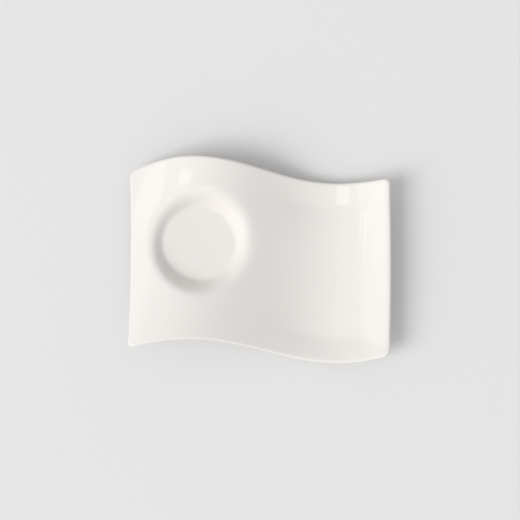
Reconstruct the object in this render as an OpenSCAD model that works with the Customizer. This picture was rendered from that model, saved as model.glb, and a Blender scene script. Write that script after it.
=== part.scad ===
// Saucer with a round seat for a cup and a shallow trough for a snack beside it.
// A sheet of porcelain runs in one slanted wave: the cup seat is sunk into its hill, and its dip is a trough
// with raised lips. The long edges swing to the side in a wave of their own.
// Millimetres, +Z up. The origin is on the table, under the middle of the outline.

/* [Outline] */
// Length from the left end to the right end
saucer_l = 219.4; // [205:0.2:245]
// Depth from the front edge straight across to the back edge
saucer_d = 152; // [138:0.2:172]
// Swing of both long edges to the side, from their middle line to a crest
edge_swing = 10.9; // [5:0.1:15]
// Distance of the edges' crest from the left end
edge_crest_in = 51; // [44:0.2:58]
// Distance of the edges' trough from the right end
edge_trough_in = 43.6; // [36:0.2:52]
// Hollow of the left end, which the right end follows outwards
end_bow = 1.2; // [0.4:0.1:3]
// How far the back edge is drawn in where it meets the left end
left_draw_in = 4.4; // [0:0.1:9]
// How far both long edges are drawn in where they meet the right end
right_draw_in = 2; // [0:0.1:4]
// Radius of the four corners
corner_r = 5; // [3.5:0.1:9]

/* [Wave] */
// Distance of the hill's line from the left end, at the middle of the depth
hill_in = 56; // [50:0.2:64]
// Distance of the dip's line from the right end, at the middle of the depth
dip_in = 55.6; // [48:0.2:64]
// Slant of the hill's line: how far it runs to the right for each millimetre towards the back
hill_slant = 0.22; // [0.1:0.01:0.3]
// Slant of the dip's line, in the same way
dip_slant = 0.06; // [0:0.01:0.15]
// Rise of the hill above the dip
wave_rise = 23.5; // [16:0.5:27]
// Rise of the long edges above the middle of the hill, spread over the whole depth
edge_rise = 4; // [0:0.1:6]
// Thickness of the porcelain with its glaze
wall = 4.2; // [3.2:0.1:5.4]

/* [Lips of the trough] */
// Width of the lips along the back and the front edge
side_lip_w = 21; // [14:0.5:26]
// Height of the lips along the back and the front edge
side_lip_h = 6; // [3:0.1:8]
// Width of the lip along the right end
end_lip_w = 23; // [14:0.5:30]
// Height of the lip along the right end
end_lip_h = 4.5; // [2:0.1:7]
// Half width of the soft bend at the foot of each lip
lip_bend = 3.5; // [2:0.5:7]
// Where the side lips begin to grow out of the slope
lip_from = -7; // [-14:0.5:4]
// Where the side lips reach their full height
lip_full = 60; // [48:0.5:76]

/* [Cup seat] */
// Distance of the seat's axis past the hill's line, towards the dip
seat_past_hill = 3.4; // [-3:0.1:9]
// Distance of the seat's axis from the middle line, towards the back
seat_off_middle = 3.3; // [-6:0.1:8]
// Radius of the flat floor that the cup stands on
seat_floor_r = 29.5; // [24:0.1:32]
// Radius at which the wall of the seat runs out into the wave
seat_rim_r = 43; // [39:0.1:46]
// Depth of the floor below the hill's line
seat_depth = 13.3; // [9:0.1:15]
// How far the seat's bulge on the underside stands out past the wall above
bulge_out = 3.5; // [2:0.1:5]

/* [Foot] */
// Height of the feet under the dip's line
foot_low = 2; // [1.4:0.1:4]
// Width of both standing rings
foot_w = 4; // [3:0.1:6]
// Outer radius of the round foot under the cup seat
seat_foot_r = 32; // [29:0.5:33]
// Slope of the round foot's walls, as the widening from bottom to top
foot_draft = 1.2; // [0.4:0.1:2]
// Soft run-out of the round foot's walls into the underside
foot_blend = 1.6; // [0.6:0.1:3]
// Height of the bare band that stands on the table
bare_h = 0.8; // [0.4:0.1:1.2]
// Bevel at both edges of the round standing ring
bare_bevel = 0.5; // [0.2:0.1:0.9]
// Width of the oval foot under the trough, along the length of the saucer
oval_foot_w = 40; // [30:1:44]
// Length of the oval foot, across the saucer
oval_foot_l = 92; // [70:1:100]

/* [Glaze] */
// Thickness of the glaze
glaze_t = 0.3; // [0.2:0.05:0.5]

/* [Hidden] */

glaze_colour = [0.94, 0.93, 0.905];
bisque_colour = [0.90, 0.875, 0.83];

half_l = saucer_l / 2;
half_d = saucer_d / 2;
edge_crest_x = edge_crest_in - half_l;
edge_trough_x = half_l - edge_trough_in;
hill_x = hill_in - half_l;
dip_x = half_l - dip_in;
edge_r = wall / 2;

// Heights of the upper surface above the table
dip_z = foot_low + wall;
hill_z = dip_z + wave_rise;
seat_z = hill_z - seat_depth;

// Facets: points along each side and corner of the outline, and rings on each stretch of the surface
long_side_n = 17;
left_end_n = 9;
right_end_n = 11;
corner_n = 3;
seat_wall_n = 5;
sheet_n = 9;
rim_n = 4;
bulge_n = 3;

function mix(a, b, s) = a + (b - a) * s;
function smooth_step(a, b, x) = let (s = min(1, max(0, (x - a) / (b - a)))) s * s * (3 - 2 * s);

// Rises from zero with a slope of one, with a soft bend of the given half width
function soft_ramp(t, bend) = t <= -bend ? 0 : t >= bend ? t : pow(t + bend, 2) / (4 * bend);

// Sideways wave of the edges, 1 on the crest and -1 in the trough, and the sheet's slanted wave in height
function edge_wave(x) = cos(180 * (x - edge_crest_x) / (edge_trough_x - edge_crest_x));
function sheet_wave(p) = let (hill = hill_x + hill_slant * p[1], dip = dip_x + dip_slant * p[1])
    cos(180 * (p[0] - hill) / (dip - hill));

// Long edges in plan
function past_crest(x) = max(0, (edge_crest_x - x) / edge_crest_in);
function past_trough(x) = max(0, (x - edge_trough_x) / edge_trough_in);
function right_pull(x) = right_draw_in * pow(past_trough(x), 2);
function middle_y(x) = edge_swing * edge_wave(x);
function back_y(x) = middle_y(x) + half_d - left_draw_in * pow(past_crest(x), 2) - right_pull(x);
function front_y(x) = middle_y(x) - half_d + right_pull(x);

// Place in plan of a point of the flat rectangle that the sheet is bent from
function in_plan(p) = let (across = p[1] / half_d)
    [p[0] + end_bow * (1 - across * across), mix(front_y(p[0]), back_y(p[0]), (1 + across) / 2)];

// Rounded outline, counter-clockwise from the right end, set in by the given distance
corner_at = [[half_l - end_bow - corner_r, half_d - corner_r], [corner_r - half_l, half_d - corner_r],
    [corner_r - half_l, corner_r - half_d], [half_l - end_bow - corner_r, corner_r - half_d]];
side_n = [long_side_n, left_end_n, long_side_n, right_end_n];
function corner_point(k, turn, inset) =
    corner_at[k % 4] + (corner_r - inset) * [cos(90 * turn), sin(90 * turn)];
function outline(inset) = [for (k = [0:3]) each concat(
    [for (i = [0:corner_n]) in_plan(corner_point(k, k + i / corner_n, inset))],
    [for (i = [1:side_n[k] - 1])
        in_plan(mix(corner_point(k, k + 1, inset), corner_point(k + 1, k + 1, inset), i / side_n[k]))])];

// The surface is laid out on rays from the seat's axis to the rim
seat_x = hill_x + seat_past_hill;
seat = [seat_x, middle_y(seat_x) + seat_off_middle];
rim = outline(edge_r);
rays = [for (p = rim) (p - seat) / norm(p - seat)];
reach = [for (p = rim) norm(p - seat)];
each_ray = [0:len(rays) - 1];

// Height of the sheet's upper side, without the seat
function side_lip(gap) = side_lip_h * soft_ramp(side_lip_w - gap, lip_bend) / side_lip_w;
function end_lip(gap) = end_lip_h * soft_ramp(end_lip_w - gap, lip_bend) / end_lip_w;
function side_rise(x, y) = mix(edge_rise * pow((y - middle_y(x)) / half_d, 2),
    side_lip(back_y(x) - y) + side_lip(y - front_y(x)), smooth_step(lip_from, lip_full, x));
function sheet_z(p) = mix(dip_z, hill_z, (1 + sheet_wave(p)) / 2)
    + norm([end_lip(half_l - p[0]), side_rise(p[0], p[1])]);

// Upper side and underside with the seat sunk into them
function with_seat(p, out) =
    mix(seat_z, sheet_z(p), smooth_step(seat_floor_r + out, seat_rim_r + out, norm(p - seat)));
function upper_z(p) = with_seat(p, 0);
function under_z(p) = with_seat(p, bulge_out) - wall;

// Rings of points, one on each ray. The depth is how far they lie under the finished surface.
function at(i, r) = seat + r * rays[i];
function raised(p, z) = [p[0], p[1], z];
function upper_ring(radii, depth) =
    [for (i = each_ray) let (p = at(i, radii[i])) raised(p, upper_z(p) - depth)];
function under_ring(radii, depth) =
    [for (i = each_ray) let (p = at(i, radii[i])) raised(p, under_z(p) + depth)];
function rim_ring(turn, depth) = let (r = edge_r - depth, line = outline(edge_r - r * cos(turn)))
    [for (i = each_ray) raised(line[i], (upper_z(rim[i]) + under_z(rim[i])) / 2 + r * sin(turn))];

// Round foot. The fall is the share of the way from the underside down to the bare band.
function foot_ring(r, fall, depth) =
    [for (i = each_ray) let (p = at(i, r)) raised(p, mix(under_z(p) + depth, bare_h, fall))];
function standing_ring(r) = [for (i = each_ray) raised(at(i, r), 0)];
foot_in_r = seat_foot_r - foot_w;
skirt_r = seat_foot_r + foot_draft + foot_blend;
recess_r = foot_in_r - foot_draft - foot_blend;
run_out = 0.35;

// From the middle of the seat over the wave and round the rim to the bare band of the round foot
function even(r) = [for (i = each_ray) r];
function share_out(r, share) = [for (full = reach) mix(r, full, share)];
bulge_r = seat_rim_r + bulge_out;
function outer_rings(depth) = concat(
    [for (k = [0:seat_wall_n]) upper_ring(even(mix(seat_floor_r, seat_rim_r, k / seat_wall_n)), depth)],
    [for (k = [1:sheet_n - 1]) upper_ring(share_out(seat_rim_r, k / sheet_n), depth)],
    [for (k = [0:rim_n]) rim_ring(90 - 180 * k / rim_n, depth)],
    [for (k = [1:sheet_n]) under_ring(share_out(bulge_r, 1 - k / sheet_n), depth)],
    [for (k = [1:bulge_n]) under_ring(even(mix(bulge_r, skirt_r, k / bulge_n)), depth)],
    [foot_ring(seat_foot_r + foot_draft - depth, run_out, depth), foot_ring(seat_foot_r - depth, 1, depth)]);

// From the bare band on the inside of the round foot to its ceiling
function inner_rings(depth) = [
    foot_ring(foot_in_r + depth, 1, depth),
    foot_ring(foot_in_r - foot_draft + depth, run_out, depth),
    under_ring(even(recess_r), depth)];

function seat_middle(depth) = raised(seat, seat_z - depth);
function recess_middle(depth) = raised(seat, seat_z - wall + depth);
function reversed(list) = [for (i = [len(list) - 1:-1:0]) list[i]];

// Two triangles on the shorter diagonal, so that neighbouring solids split a shared face alike
function quad_faces(p, a, b, c, d) =
    norm(p[a] - p[c]) < norm(p[b] - p[d]) ? [[a, b, c], [a, c, d]] : [[a, b, d], [b, c, d]];

// Closed solid through a stack of rings, pointed at both ends
module ring_stack(first, rings, last) {
    n = len(rings[0]);
    points = concat([first], [for (ring = rings) each ring], [last]);
    end = len(points) - 1;
    first_cap = [for (i = [0:n - 1]) [0, 1 + (i + 1) % n, 1 + i]];
    bands = [for (k = [0:len(rings) - 2], i = [0:n - 1]) let (a = 1 + k * n, j = (i + 1) % n)
        each quad_faces(points, a + i, a + j, a + n + j, a + n + i)];
    last_cap = [for (i = [0:n - 1]) [end, end - n + i, end - n + (i + 1) % n]];
    polyhedron(points, concat(first_cap, bands, last_cap));
}

// The box of the outline is put over the origin
border = outline(0);
xs = [for (p = border) p[0]];
ys = [for (p = border) p[1]];
module centred() {
    translate([-(min(xs) + max(xs)) / 2, -(min(ys) + max(ys)) / 2, 0]) children();
}

// Oval foot along the dip's line, up to a height between the underside and the upper side
oval_at = [dip_x + dip_slant * middle_y(dip_x), middle_y(dip_x)];
oval_top = (under_z(oval_at - [oval_foot_w / 2, 0]) + dip_z) / 2;
module oval(inset) {
    end_r = oval_foot_w / 2 - inset;
    mid = (oval_foot_l - oval_foot_w) / 2;
    translate(oval_at) rotate(-atan(dip_slant)) {
        square([2 * end_r, 2 * mid], center = true);
        translate([0, mid]) circle(r = end_r, $fn = 96);
        translate([0, -mid]) circle(r = end_r, $fn = 96);
    }
}
module oval_plug(inset) {
    linear_extrude(oval_top) oval(inset);
}

// Glaze over everything but the standing ring and the inside of the round foot
module outer_glaze() {
    ring_stack(seat_middle(0), concat(outer_rings(0), reversed(outer_rings(glaze_t))), seat_middle(glaze_t));
}

// Fired body. Its two standing rings are bare, and the glaze covers the rest.
module porcelain_body() {
    color(bisque_colour) centred() union() {
        ring_stack(seat_middle(glaze_t),
            concat(outer_rings(glaze_t),
                [standing_ring(seat_foot_r - bare_bevel), standing_ring(foot_in_r + bare_bevel)],
                inner_rings(glaze_t)),
            recess_middle(glaze_t));
        difference() {
            oval_plug(0);
            oval_plug(foot_w);
        }
    }
}

// Glaze over the upper side, the rim and the underside outside both feet
module glaze_coat() {
    color(glaze_colour) centred() difference() {
        outer_glaze();
        oval_plug(0);
    }
}

// Glaze inside the round foot
module seat_recess_glaze() {
    color(glaze_colour) centred() ring_stack(recess_middle(glaze_t),
        concat(reversed(inner_rings(glaze_t)), inner_rings(0)), recess_middle(0));
}

// Glaze inside the oval foot
module trough_recess_glaze() {
    color(glaze_colour) centred() intersection() {
        outer_glaze();
        oval_plug(foot_w);
    }
}

porcelain_body();
glaze_coat();
seat_recess_glaze();
trough_recess_glaze();
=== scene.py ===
"""Glazed porcelain saucer with a sunken cup seat and a lipped snack trough, seen from straight above.

The wave, the rim, the underside and both feet follow the same formulas as the construction, sampled
finely enough to shade smoothly. Only the wall of the seat, above and below, has a longer and less even
shoulder here. Shape sizes are in millimetres and everything placed in the scene is in metres.
"""
import math

import bmesh
import bpy
import numpy as np
from mathutils import Matrix, Vector


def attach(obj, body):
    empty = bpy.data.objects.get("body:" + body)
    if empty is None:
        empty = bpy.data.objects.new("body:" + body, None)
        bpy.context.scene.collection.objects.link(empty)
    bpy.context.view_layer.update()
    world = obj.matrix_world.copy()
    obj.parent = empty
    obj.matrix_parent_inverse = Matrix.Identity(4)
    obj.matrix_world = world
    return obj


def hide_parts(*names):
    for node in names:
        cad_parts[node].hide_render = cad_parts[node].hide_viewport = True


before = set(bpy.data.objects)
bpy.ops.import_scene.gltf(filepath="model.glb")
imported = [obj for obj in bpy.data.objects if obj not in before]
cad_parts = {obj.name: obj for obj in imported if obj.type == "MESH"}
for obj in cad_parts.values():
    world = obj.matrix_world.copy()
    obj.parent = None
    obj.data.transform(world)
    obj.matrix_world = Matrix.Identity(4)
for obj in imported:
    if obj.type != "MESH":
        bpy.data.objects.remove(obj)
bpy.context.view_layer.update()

MM = 0.001
# Keeps the finely curved outline within the box of the faceted one
INSIDE = 0.9997

# Outline
SAUCER_L = 219.4
SAUCER_D = 152.0
EDGE_SWING = 10.9
END_BOW = 1.2
LEFT_DRAW_IN = 4.4
RIGHT_DRAW_IN = 2.0
CORNER_R = 5.0

# Wave of the edges in plan, and the slanted wave of the sheet in height
EDGE_CREST_IN = 51.0
EDGE_TROUGH_IN = 43.6
HILL_IN = 56.0
DIP_IN = 55.6
HILL_SLANT = 0.22
DIP_SLANT = 0.06
WAVE_RISE = 23.5
EDGE_RISE = 4.0
WALL = 4.2

# Lips of the trough
SIDE_LIP_W = 21.0
SIDE_LIP_H = 6.0
END_LIP_W = 23.0
END_LIP_H = 4.5
LIP_BEND = 3.5
LIP_FROM = -7.0
LIP_FULL = 60.0

# Cup seat. The circles of its floor and its rim lie a little off its axis, and the greater the bend on
# a side is, the steeper the wall starts from the floor there.
SEAT_PAST_HILL = 3.4
SEAT_OFF_MIDDLE = 3.3
SEAT_FLOOR_R = 29.9
SEAT_RIM_R = 51.0
SEAT_DEPTH = 13.3
BULGE_OUT = 3.5
FLOOR_SHIFT = np.array([-1.5, 0.3])
RIM_SHIFT = np.array([1.5, 2.3])
LEFT_BEND = 4.5
RIGHT_BEND = 3.7

# Feet
FOOT_LOW = 2.0
FOOT_W = 4.0
SEAT_FOOT_R = 32.0
FOOT_DRAFT = 1.2
FOOT_BLEND = 1.6
RUN_OUT = 0.35
BARE_H = 0.8
BARE_BEVEL = 0.5
OVAL_FOOT_W = 40.0
OVAL_FOOT_L = 92.0

GLAZE_T = 0.3
# How far the block that cuts the glaze round the oval foot reaches below the table
PLUG_BELOW = 1.0

HALF_L = SAUCER_L / 2
HALF_D = SAUCER_D / 2
EDGE_CREST_X = EDGE_CREST_IN - HALF_L
EDGE_TROUGH_X = HALF_L - EDGE_TROUGH_IN
HILL_X = HILL_IN - HALF_L
DIP_X = HALF_L - DIP_IN
EDGE_R = WALL / 2
DIP_Z = FOOT_LOW + WALL
HILL_Z = DIP_Z + WAVE_RISE
SEAT_Z = HILL_Z - SEAT_DEPTH

# Points along each side and corner of the outline, and rings on each stretch of the surface
LONG_SIDE_N = 88
LEFT_END_N = 52
RIGHT_END_N = 60
CORNER_N = 8
SEAT_FLOOR_N = 3
SEAT_WALL_N = 20
SHEET_N = 34
RIM_N = 10
BULGE_N = 8
FOOT_N = 6
OVAL_N = 48


def mix(a, b, s):
    return a + (b - a) * s


def smooth_step(a, b, x):
    s = np.clip((x - a) / (b - a), 0, 1)
    return s * s * (3 - 2 * s)


def soft_ramp(t, bend):
    """Rises from zero with a slope of one, with a soft bend of the given half width."""
    return np.where(t >= bend, t, np.clip(t + bend, 0, None) ** 2 / (4 * bend))


def edge_wave(x):
    """Sideways wave of the edges: 1 on the crest, -1 in the trough."""
    return np.cos(np.pi * (x - EDGE_CREST_X) / (EDGE_TROUGH_X - EDGE_CREST_X))


def sheet_wave(x, y):
    """Wave of the sheet in height: 1 along the slanted line of the hill, -1 along that of the dip."""
    hill = HILL_X + HILL_SLANT * y
    dip = DIP_X + DIP_SLANT * y
    return np.cos(np.pi * (x - hill) / (dip - hill))


def right_pull(x):
    past_trough = np.clip((x - EDGE_TROUGH_X) / EDGE_TROUGH_IN, 0, None)
    return RIGHT_DRAW_IN * past_trough ** 2


def middle_y(x):
    return EDGE_SWING * edge_wave(x)


def back_y(x):
    past_crest = np.clip((EDGE_CREST_X - x) / EDGE_CREST_IN, 0, None)
    return middle_y(x) + HALF_D - LEFT_DRAW_IN * past_crest ** 2 - right_pull(x)


def front_y(x):
    return middle_y(x) - HALF_D + right_pull(x)


def in_plan(p):
    """Place in plan of points of the flat rectangle that the sheet is bent from."""
    across = p[:, 1] / HALF_D
    y = mix(front_y(p[:, 0]), back_y(p[:, 0]), (1 + across) / 2)
    return np.column_stack([p[:, 0] + END_BOW * (1 - across ** 2), y])


def outline(inset):
    """Rounded outline, counter-clockwise from the right end, set in by the given distance."""
    right = HALF_L - END_BOW - CORNER_R
    left = CORNER_R - HALF_L
    deep = HALF_D - CORNER_R
    corners = np.array([(right, deep), (left, deep), (left, -deep), (right, -deep)])
    counts = (LONG_SIDE_N, LEFT_END_N, LONG_SIDE_N, RIGHT_END_N)
    points = []
    for k, count in enumerate(counts):
        turns = np.pi / 2 * (k + np.linspace(0, 1, CORNER_N + 1))
        arms = (CORNER_R - inset) * np.column_stack([np.cos(turns), np.sin(turns)])
        points.append(corners[k] + arms)
        shares = np.arange(1, count)[:, None] / count
        points.append(mix(corners[k], corners[(k + 1) % 4], shares) + arms[-1])
    return in_plan(np.concatenate(points))


SEAT_X = HILL_X + SEAT_PAST_HILL
SEAT = np.array([SEAT_X, middle_y(SEAT_X) + SEAT_OFF_MIDDLE])
OVAL_Y = middle_y(DIP_X)
OVAL = np.array([DIP_X + DIP_SLANT * OVAL_Y, OVAL_Y])
RIM = outline(EDGE_R)
REACH = np.linalg.norm(RIM - SEAT, axis=1)
RAYS = (RIM - SEAT) / REACH[:, None]
BORDER = outline(0)
CENTRE = (BORDER.min(axis=0) + BORDER.max(axis=0)) / 2


def side_lip(gap):
    return SIDE_LIP_H * soft_ramp(SIDE_LIP_W - gap, LIP_BEND) / SIDE_LIP_W


def sheet_z(p):
    """Height of the sheet's upper side, without the seat."""
    x, y = p[:, 0], p[:, 1]
    end_lip = END_LIP_H * soft_ramp(END_LIP_W - (HALF_L - x), LIP_BEND) / END_LIP_W
    bow = EDGE_RISE * ((y - middle_y(x)) / HALF_D) ** 2
    lips = side_lip(back_y(x) - y) + side_lip(y - front_y(x))
    side_rise = mix(bow, lips, smooth_step(LIP_FROM, LIP_FULL, x))
    return mix(DIP_Z, HILL_Z, (1 + sheet_wave(x, y)) / 2) + np.hypot(end_lip, side_rise)


def from_seat(p, shift):
    return np.linalg.norm(p - SEAT - shift, axis=1)


def with_seat(p, out):
    """Sheet with the seat sunk in, its floor and rim widened by the given distance.

    The wall is steepest near the floor, above all on the left side. The floor lies a little left of the
    rim, so the shoulder is longest on the right side.
    """
    past_floor = np.clip(from_seat(p, FLOOR_SHIFT) - SEAT_FLOOR_R - out, 0, None)
    to_rim = np.clip(SEAT_RIM_R + out - from_seat(p, RIM_SHIFT), 0, None)
    share = past_floor / (past_floor + to_rim)
    toward_right = (p[:, 0] - SEAT[0]) / np.maximum(from_seat(p, 0), SEAT_FLOOR_R)
    bend = mix(LEFT_BEND, RIGHT_BEND, (1 + toward_right) / 2)
    rise = 1 - (1 - share) ** bend * (1 + bend * share)
    return mix(SEAT_Z, sheet_z(p), rise)


def upper_z(p):
    return with_seat(p, 0)


def under_z(p):
    return with_seat(p, BULGE_OUT) - WALL


def on_rays(radii):
    return SEAT + RAYS * np.broadcast_to(radii, REACH.shape)[:, None]


def upper_ring(radii, depth):
    p = on_rays(radii)
    return np.column_stack([p, upper_z(p) - depth])


def under_ring(radii, depth):
    p = on_rays(radii)
    return np.column_stack([p, under_z(p) + depth])


RIM_MID_Z = (upper_z(RIM) + under_z(RIM)) / 2


def rim_ring(turn, depth):
    r = EDGE_R - depth
    return np.column_stack([outline(EDGE_R - r * math.cos(turn)), RIM_MID_Z + r * math.sin(turn)])


def level_ring(radius, z):
    p = on_rays(radius)
    return np.column_stack([p, np.full(len(p), z)])


def foot_flare(start, bend, end, depth):
    """Rings from the underside down a wall of the round foot to its bare band, in one soft curve."""
    top = under_ring(start, depth)
    knee = under_ring(bend, depth)
    knee[:, 2] = mix(knee[:, 2], BARE_H, RUN_OUT)
    low = level_ring(end, BARE_H)
    shares = np.arange(1, FOOT_N + 1) / FOOT_N
    return [(1 - s) ** 2 * top + 2 * s * (1 - s) * knee + s * s * low for s in shares]


FOOT_IN_R = SEAT_FOOT_R - FOOT_W
SKIRT_R = SEAT_FOOT_R + FOOT_DRAFT + FOOT_BLEND
RECESS_R = FOOT_IN_R - FOOT_DRAFT - FOOT_BLEND
WALL_FROM_R = SEAT_FLOOR_R + FLOOR_SHIFT[0]
BULGE_R = SEAT_RIM_R + BULGE_OUT


def outer_rings(depth):
    """From the middle of the seat over the wave and round the rim to the bare band of the round foot."""
    floor = [upper_ring(WALL_FROM_R * k / SEAT_FLOOR_N, depth) for k in range(1, SEAT_FLOOR_N)]
    seat_wall = [upper_ring(mix(WALL_FROM_R, SEAT_RIM_R, k / SEAT_WALL_N), depth)
                 for k in range(SEAT_WALL_N + 1)]
    sheet = [upper_ring(mix(SEAT_RIM_R, REACH, k / SHEET_N), depth) for k in range(1, SHEET_N)]
    rim = [rim_ring(math.pi * (0.5 - k / RIM_N), depth) for k in range(RIM_N + 1)]
    under = [under_ring(mix(REACH, BULGE_R, k / SHEET_N), depth) for k in range(1, SHEET_N + 1)]
    bulge = [under_ring(mix(BULGE_R, SKIRT_R, k / BULGE_N), depth) for k in range(1, BULGE_N + 1)]
    foot = foot_flare(SKIRT_R, SEAT_FOOT_R + FOOT_DRAFT - depth, SEAT_FOOT_R - depth, depth)
    return floor + seat_wall + sheet + rim + under + bulge + foot


def inner_rings(depth):
    """From the bare band on the inside of the round foot to its ceiling."""
    foot = foot_flare(RECESS_R, FOOT_IN_R - FOOT_DRAFT + depth, FOOT_IN_R + depth, depth)
    ceiling = [under_ring(RECESS_R * k / SEAT_FLOOR_N, depth) for k in range(SEAT_FLOOR_N, 0, -1)]
    return foot[::-1] + ceiling


def new_piece(name, points, faces):
    mesh = bpy.data.meshes.new(name)
    centred = np.array(points) - np.append(CENTRE, 0)
    mesh.from_pydata((centred * INSIDE * MM).tolist(), [], faces)
    mesh.validate()
    piece = bpy.data.objects.new(name, mesh)
    bpy.context.collection.objects.link(piece)
    return piece


def ring_stack(name, first, rings, last):
    """Closed mesh through a stack of rings, pointed at both ends."""
    n = len(rings[0])
    points = np.concatenate([[first], *rings, [last]])
    end = len(points) - 1
    step = [(i, (i + 1) % n) for i in range(n)]
    faces = [(0, 1 + i, 1 + j) for i, j in step]
    for base in range(1, end - n, n):
        faces += [(base + i, base + n + i, base + n + j, base + j) for i, j in step]
    faces += [(end, end - n + j, end - n + i) for i, j in step]
    return new_piece(name, points, faces)


def ring_tube(name, rings):
    """Closed ring-shaped mesh whose cross-section runs through the rings and back to the first."""
    n = len(rings[0])
    count = len(rings)
    faces = []
    for k in range(count):
        a, b = k * n, (k + 1) % count * n
        faces += [(a + i, b + i, b + (i + 1) % n, a + (i + 1) % n) for i in range(n)]
    return new_piece(name, np.concatenate(rings), faces)


def oval_ring(inset, z):
    """Outline of the oval foot, set in by the given distance."""
    r = OVAL_FOOT_W / 2 - inset
    mid = (OVAL_FOOT_L - OVAL_FOOT_W) / 2
    turns = np.linspace(0, np.pi, OVAL_N)
    half = np.column_stack([r * np.cos(turns), r * np.sin(turns) + mid])
    lean = math.atan(DIP_SLANT)
    along = np.array([math.cos(lean), -math.sin(lean)])
    across = np.array([math.sin(lean), math.cos(lean)])
    p = OVAL + np.concatenate([half, -half]) @ np.array([along, across])
    return np.column_stack([p, np.full(len(p), z)])


OVAL_TOP = (float(under_z(OVAL[None] - (OVAL_FOOT_W / 2, 0))[0]) + DIP_Z) / 2


def oval_plug(inset):
    """Upright block of the oval foot's outline, used to cut the glaze."""
    rings = [oval_ring(inset, OVAL_TOP), oval_ring(inset, -PLUG_BELOW)]
    first, last = (np.append(OVAL, ring[0, 2]) for ring in rings)
    return ring_stack("oval_plug", first, rings, last)


def flatten_low_faces(piece):
    """Splits the faces at the height of the oval foot into triangles, so that a cut leaves flat faces."""
    mesh = bmesh.new()
    mesh.from_mesh(piece.data)
    low = [face for face in mesh.faces if face.calc_center_median().z < OVAL_TOP * MM]
    bmesh.ops.triangulate(mesh, faces=low)
    mesh.to_mesh(piece.data)
    mesh.free()


def combine(piece, tool, operation):
    """Joins or cuts a piece with a tool that is then removed."""
    flatten_low_faces(piece)
    modifier = piece.modifiers.new(operation, "BOOLEAN")
    modifier.object = tool
    modifier.operation = operation
    modifier.solver = "EXACT"
    evaluated = piece.evaluated_get(bpy.context.evaluated_depsgraph_get())
    result = bpy.data.meshes.new_from_object(evaluated)
    piece.modifiers.clear()
    piece.data = result
    bpy.data.objects.remove(tool)


def seat_middle(depth):
    return np.append(SEAT, SEAT_Z - depth)


def recess_middle(depth):
    return np.append(SEAT, SEAT_Z - WALL + depth)


def outer_glaze(name):
    """Glaze from the seat round the rim to the round foot, with the oval foot not yet cut out of it."""
    rings = outer_rings(0) + outer_rings(GLAZE_T)[::-1]
    return ring_stack(name, seat_middle(0), rings, seat_middle(GLAZE_T))


def make_glaze_coat():
    piece = outer_glaze("glaze_coat_skin")
    combine(piece, oval_plug(0), "DIFFERENCE")
    return piece


def make_trough_glaze():
    piece = outer_glaze("trough_recess_skin")
    combine(piece, oval_plug(FOOT_W), "INTERSECT")
    return piece


def make_seat_glaze():
    rings = inner_rings(GLAZE_T)[::-1] + inner_rings(0)
    return ring_stack("seat_recess_skin", recess_middle(GLAZE_T), rings, recess_middle(0))


def make_body():
    standing = [level_ring(SEAT_FOOT_R - BARE_BEVEL, 0), level_ring(FOOT_IN_R + BARE_BEVEL, 0)]
    rings = outer_rings(GLAZE_T) + standing + inner_rings(GLAZE_T)
    piece = ring_stack("bare_porcelain", seat_middle(GLAZE_T), rings, recess_middle(GLAZE_T))
    outside = [(0, OVAL_TOP), (0, BARE_BEVEL), (BARE_BEVEL, 0)]
    inside = [(FOOT_W - inset, z) for inset, z in reversed(outside)]
    oval = ring_tube("oval_foot", [oval_ring(inset, z) for inset, z in outside + inside])
    combine(piece, oval, "UNION")
    return piece


def smooth(piece, sharp_over):
    piece.data.polygons.foreach_set("use_smooth", [True] * len(piece.data.polygons))
    piece.data.set_sharp_from_angle(angle=math.radians(sharp_over))


def node(tree, kind, **inputs):
    """New node with the given values on its sockets, whose names have underscores for spaces."""
    made = tree.nodes.new(kind)
    for name, value in inputs.items():
        made.inputs[name.replace("_", " ")].default_value = value
    return made


def new_material(name):
    material = bpy.data.materials.new(name)
    material.use_nodes = True
    tree = material.node_tree
    return material, tree, tree.nodes["Principled BSDF"]


GLAZE_PALE = (0.852, 0.816, 0.787, 1)
GLAZE_DEEP = (0.834, 0.798, 0.767, 1)
GLAZE_ROUGH_MIN = 0.03
GLAZE_ROUGH_MAX = 0.05
CLOUD_SCALE = 14.0
RIPPLE_SCALE = 45.0
RIPPLE_STRENGTH = 0.05

# Tones of the scuffs on the bare porcelain, with their places on the noise
SCUFF_TONES = [(0.38, (0.60, 0.565, 0.52, 1)), (0.60, (0.78, 0.74, 0.685, 1))]
SCUFF_SCALE = 60.0
GRAIN_SCALE = 900.0
GRAIN_STRENGTH = 0.5
BISQUE_ROUGH = 0.75

BUMP_H = 0.2 * MM


def glaze_material():
    """Warm white gloss glaze: faint clouding of the colour and a very low, slow ripple."""
    material, tree, shader = new_material("warm_white_glaze")
    link = tree.links.new
    place = node(tree, "ShaderNodeTexCoord")
    clouds = node(tree, "ShaderNodeTexNoise", Scale=CLOUD_SCALE, Detail=3.0, Roughness=0.5)
    link(place.outputs["Object"], clouds.inputs["Vector"])
    tint = node(tree, "ShaderNodeMix")
    tint.data_type = "RGBA"
    tint.inputs["A"].default_value = GLAZE_PALE
    tint.inputs["B"].default_value = GLAZE_DEEP
    link(clouds.outputs["Fac"], tint.inputs["Factor"])
    link(tint.outputs["Result"], shader.inputs["Base Color"])
    rough = node(tree, "ShaderNodeMapRange", To_Min=GLAZE_ROUGH_MIN, To_Max=GLAZE_ROUGH_MAX)
    link(clouds.outputs["Fac"], rough.inputs["Value"])
    link(rough.outputs["Result"], shader.inputs["Roughness"])
    ripple = node(tree, "ShaderNodeTexNoise", Scale=RIPPLE_SCALE, Detail=1.0)
    link(place.outputs["Object"], ripple.inputs["Vector"])
    bump = node(tree, "ShaderNodeBump", Strength=RIPPLE_STRENGTH, Distance=BUMP_H)
    link(ripple.outputs["Fac"], bump.inputs["Height"])
    link(bump.outputs["Normal"], shader.inputs["Normal"])
    return material


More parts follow.
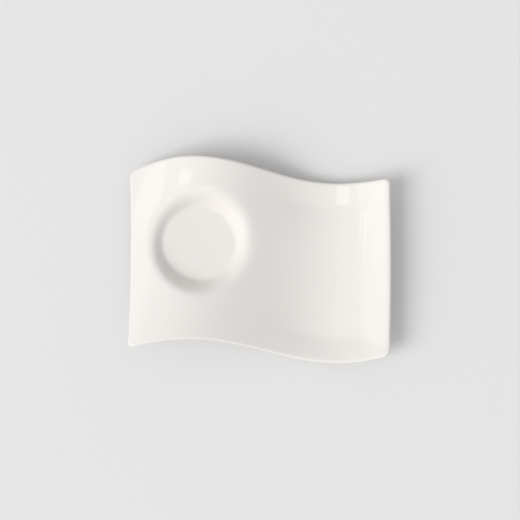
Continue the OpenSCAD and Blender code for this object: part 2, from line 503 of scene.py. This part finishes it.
def bisque_material():
    """Bare fired porcelain of the standing rings: matte, fine grained, a little scuffed."""
    material, tree, shader = new_material("bare_porcelain")
    link = tree.links.new
    place = node(tree, "ShaderNodeTexCoord")
    grain = node(tree, "ShaderNodeTexNoise", Scale=GRAIN_SCALE, Detail=4.0, Roughness=0.65)
    scuffs = node(tree, "ShaderNodeTexNoise", Scale=SCUFF_SCALE, Detail=5.0, Roughness=0.7)
    link(place.outputs["Object"], grain.inputs["Vector"])
    link(place.outputs["Object"], scuffs.inputs["Vector"])
    colour = node(tree, "ShaderNodeValToRGB")
    for stop, (position, tone) in zip(colour.color_ramp.elements, SCUFF_TONES):
        stop.position = position
        stop.color = tone
    link(scuffs.outputs["Fac"], colour.inputs["Fac"])
    link(colour.outputs["Color"], shader.inputs["Base Color"])
    bump = node(tree, "ShaderNodeBump", Strength=GRAIN_STRENGTH, Distance=BUMP_H)
    link(grain.outputs["Fac"], bump.inputs["Height"])
    link(bump.outputs["Normal"], shader.inputs["Normal"])
    shader.inputs["Roughness"].default_value = BISQUE_ROUGH
    return material


glaze = glaze_material()
bisque = bisque_material()
PIECES = [
    (make_body, bisque, "bisque", "porcelain_body"),
    (make_glaze_coat, glaze, "glaze", "glaze_coat"),
    (make_seat_glaze, glaze, "glaze", "seat_recess_glaze"),
    (make_trough_glaze, glaze, "glaze", "trough_recess_glaze"),
]
SHARP_OVER = 50.0
for make, material, slot, cad_node in PIECES:
    piece = make()
    piece.data.materials.clear()
    piece.data.materials.append(material)
    smooth(piece, SHARP_OVER)
    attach(piece, "root")
    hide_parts(cad_node)

# Floor
FLOOR_R = 6.0
FLOOR_N = 96
FLOOR_COLOUR = (0.80, 0.80, 0.80, 1)
FLOOR_ROUGH = 0.9
FLOOR_SPECULAR = 0.1
bpy.ops.mesh.primitive_circle_add(vertices=FLOOR_N, radius=FLOOR_R, fill_type="NGON")
floor = bpy.context.object
floor.name = "floor"
floor_material, _, floor_shader = new_material("pale_floor")
floor_shader.inputs["Base Color"].default_value = FLOOR_COLOUR
floor_shader.inputs["Roughness"].default_value = FLOOR_ROUGH
floor_shader.inputs["Specular IOR Level"].default_value = FLOOR_SPECULAR
floor.data.materials.append(floor_material)

# Lights, all at the same distance from the saucer
LIGHT_AT = 15.0


def softbox(name, left, back, size, power, roll=0.0, mirrored=True):
    """Soft light aimed at the saucer, placed by its angles from straight above to the left and back."""
    lamp = bpy.data.lights.new(name, "AREA")
    lamp.shape = "RECTANGLE"
    lamp.size, lamp.size_y = size
    lamp.energy = power
    light = bpy.data.objects.new(name, lamp)
    toward = Vector((-math.tan(math.radians(left)), math.tan(math.radians(back)), 1)).normalized()
    along = Vector((0, 1, 0)).cross(toward).normalized()
    upright = Matrix((along, toward.cross(along), toward)).transposed()
    light.matrix_world = Matrix.Translation(toward * LIGHT_AT) @ (
        upright @ Matrix.Rotation(math.radians(roll), 3, "Z")).to_4x4()
    light.visible_glossy = mirrored
    bpy.context.collection.objects.link(light)


# The key and the low light shade the saucer. The glaze doesn't mirror them, because there they would glare.
softbox("key", 44.1, -22.4, (7.5, 7.5), 1027.0, mirrored=False)
softbox("low", 64.5, -42.0, (4.5, 15.0), 330.0, mirrored=False)

# The glaze mirrors weak cards instead, each placed and turned for one highlight
softbox("corner_card", 38.0, -22.5, (5.6, 5.5), 47.0)
softbox("left_card", 44.9, 10.8, (0.89, 0.53), 1.6, roll=20.0)
softbox("band_card", 41.5, 15.2, (3.0, 1.6), 6.2)
softbox("end_card", 43.5, 15.5, (2.1, 1.4), 3.4)
softbox("wall_card", 54.5, -18.0, (3.3, 13.0), 57.0)
softbox("hill_card", 32.7, 3.55, (2.75, 0.22), 3.3, roll=-16.0)
softbox("blade_card", 28.8, -7.6, (1.3, 1.3), 7.4)
softbox("bend_card", 39.0, 2.05, (1.7, 0.35), 2.0, roll=-22.0)
softbox("lip_card", 11.8, -28.2, (2.6, 1.6), 23.0)
softbox("lip_end_card", 24.6, -28.5, (0.8, 2.2), 4.4)
softbox("streak_card", 44.5, 3.3, (2.7, 0.4), 2.7, roll=-8.0)

# Even light from all round. Seen directly or mirrored, it has the tone of the floor.
DOME_LIGHT = 0.59
DOME_SEEN = 0.79
DOME_COLOUR = (1, 1, 1, 1)
world = bpy.data.worlds.new("studio")
world.use_nodes = True
bpy.context.scene.world = world
sky = world.node_tree
path = node(sky, "ShaderNodeLightPath")
seen = node(sky, "ShaderNodeMath")
seen.operation = "MAXIMUM"
sky.links.new(path.outputs["Is Camera Ray"], seen.inputs[0])
sky.links.new(path.outputs["Is Glossy Ray"], seen.inputs[1])
strength = node(sky, "ShaderNodeMapRange", To_Min=DOME_LIGHT, To_Max=DOME_SEEN)
sky.links.new(seen.outputs["Value"], strength.inputs["Value"])
background = sky.nodes["Background"]
background.inputs["Color"].default_value = DOME_COLOUR
sky.links.new(strength.outputs["Result"], background.inputs["Strength"])

# Camera straight above, at the distance at which the outline foreshortens as in the photograph. The view's
# width is measured on the table, and the sensor is in millimetres.
CAMERA_AT = (-0.0002, 0.0004, 0.970)
VIEW_W = 0.4438
SENSOR = 36.0
camera_data = bpy.data.cameras.new("camera")
camera_data.sensor_width = SENSOR
camera_data.lens = SENSOR * CAMERA_AT[2] / VIEW_W
camera = bpy.data.objects.new("camera", camera_data)
camera.location = CAMERA_AT
bpy.context.collection.objects.link(camera)
bpy.context.scene.camera = camera

bpy.context.scene.view_settings.view_transform = "Standard"
